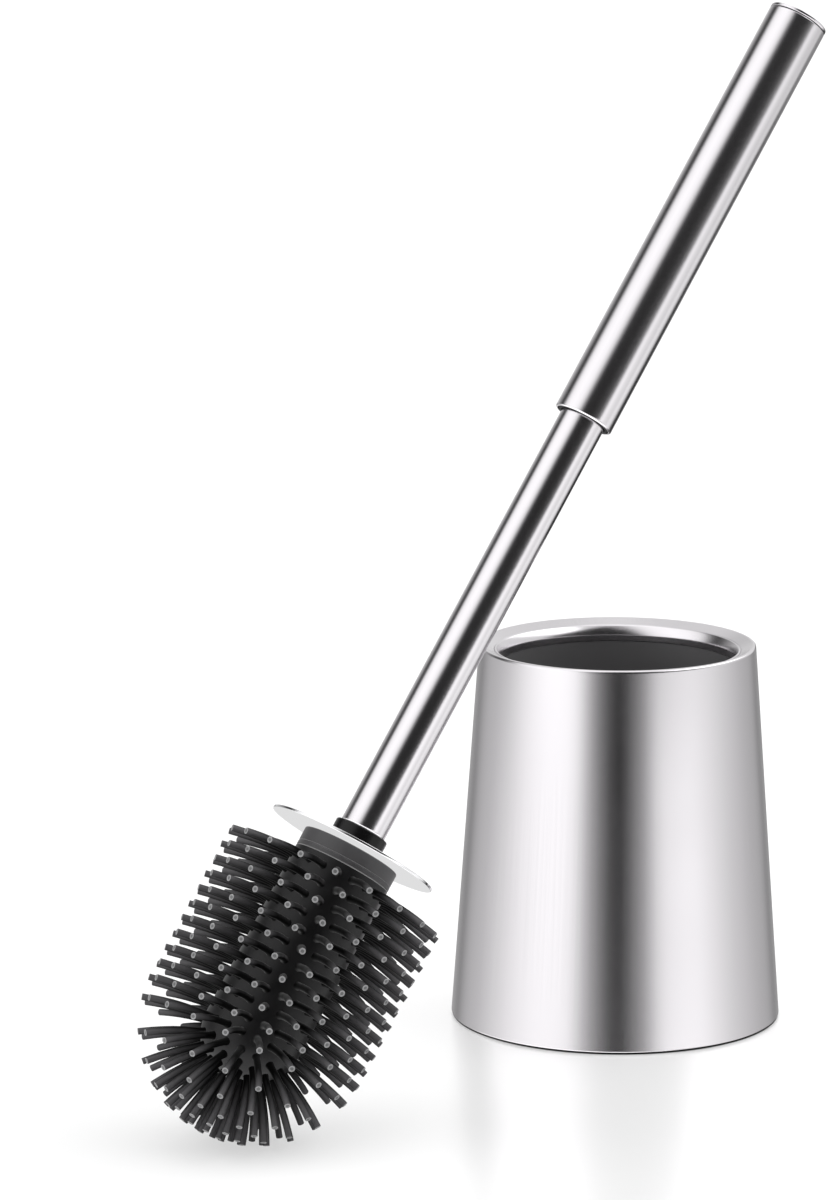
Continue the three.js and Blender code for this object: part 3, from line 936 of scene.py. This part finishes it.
def handle_lights(tree, direction, up_handle):
    """Light round the handle, closed by a flat light off each of its ends."""
    facing = (TO_CAMERA - AXIS * AXIS.dot(TO_CAMERA)).normalized()
    right = AXIS.cross(facing)
    angle = math_node(
        tree, "ARCTAN2", component(tree, direction, right), component(tree, direction, facing)
    )
    ring = angle_ramp(tree, angle, RING_LIGHT)
    below, above = flat_light(tree, END_LIGHT_BELOW), flat_light(tree, END_LIGHT_ABOVE)
    ends = blend(tree, part_between(tree, up_handle, MIDDLE_PART), below, above)
    near_end = part_between(tree, math_node(tree, "ABSOLUTE", up_handle), END_PART)
    return blend(tree, near_end, ring, ends)


def low_light(tree, direction):
    """Light low over the floor, by azimuth."""
    x, y = component(tree, direction, (1, 0, 0)), component(tree, direction, (0, -1, 0))
    return angle_ramp(tree, math_node(tree, "ARCTAN2", x, y), LOW_LIGHT)


def make_studio():
    """Soft studio: pale all round, broad bright panels at both sides, a dark gap by the camera."""
    world = bpy.data.worlds.new("studio")
    bpy.context.scene.world = world
    world.use_nodes = True
    tree = world.node_tree
    direction = add(tree, "ShaderNodeTexCoord").outputs["Generated"]
    height = component(tree, direction, (0, 0, 1))
    up_handle = component(tree, direction, AXIS)

    lights = handle_lights(tree, direction, up_handle)
    overhead = part_between(tree, height, OVERHEAD_PART)
    lights = blend(tree, overhead, lights, flat_light(tree, OVERHEAD_LIGHT))

    side = part_between(tree, component(tree, direction, (1, 0, 0)), SIDE_PART)
    side = math_node(tree, "MULTIPLY", side, part_between(tree, up_handle, END_PART))
    side = math_node(tree, "MULTIPLY", side, part_between(tree, height, SIDE_FOOT))
    lights = blend(tree, side, lights, flat_light(tree, SIDE_LIGHT))

    low = rest_of(tree, part_between(tree, height, LOW_TOP))
    low = math_node(tree, "MULTIPLY", low, part_between(tree, height, LOW_FOOT))
    lights = blend(tree, low, lights, low_light(tree, direction))

    camera_ray = add(tree, "ShaderNodeLightPath").outputs["Is Camera Ray"]
    shown = blend(tree, camera_ray, lights, flat_light(tree, 1.0))
    tree.links.new(shown, tree.nodes["Background"].inputs["Color"])


CAMERA_PLACE = (-0.06767, -1.7931, 0.48643)
CAMERA_DIP = 10.903  # degrees below level


def make_camera():
    """Long lens, looking a little down on the front of the set."""
    data = bpy.data.cameras.new("camera")
    data.sensor_width = 36
    data.lens = 165
    data.clip_end = 50
    camera = bpy.data.objects.new("camera", data)
    bpy.context.scene.collection.objects.link(camera)
    camera.location = CAMERA_PLACE
    camera.rotation_euler = (math.radians(90 - CAMERA_DIP), 0, 0)
    bpy.context.scene.camera = camera


bpy.context.scene.view_settings.view_transform = "Standard"
make_holder()
make_bristles()
make_neck()
make_guard()
make_rod()
make_grip()
make_cap()
dress_inner_pieces()
make_floor()
make_studio()
make_camera()
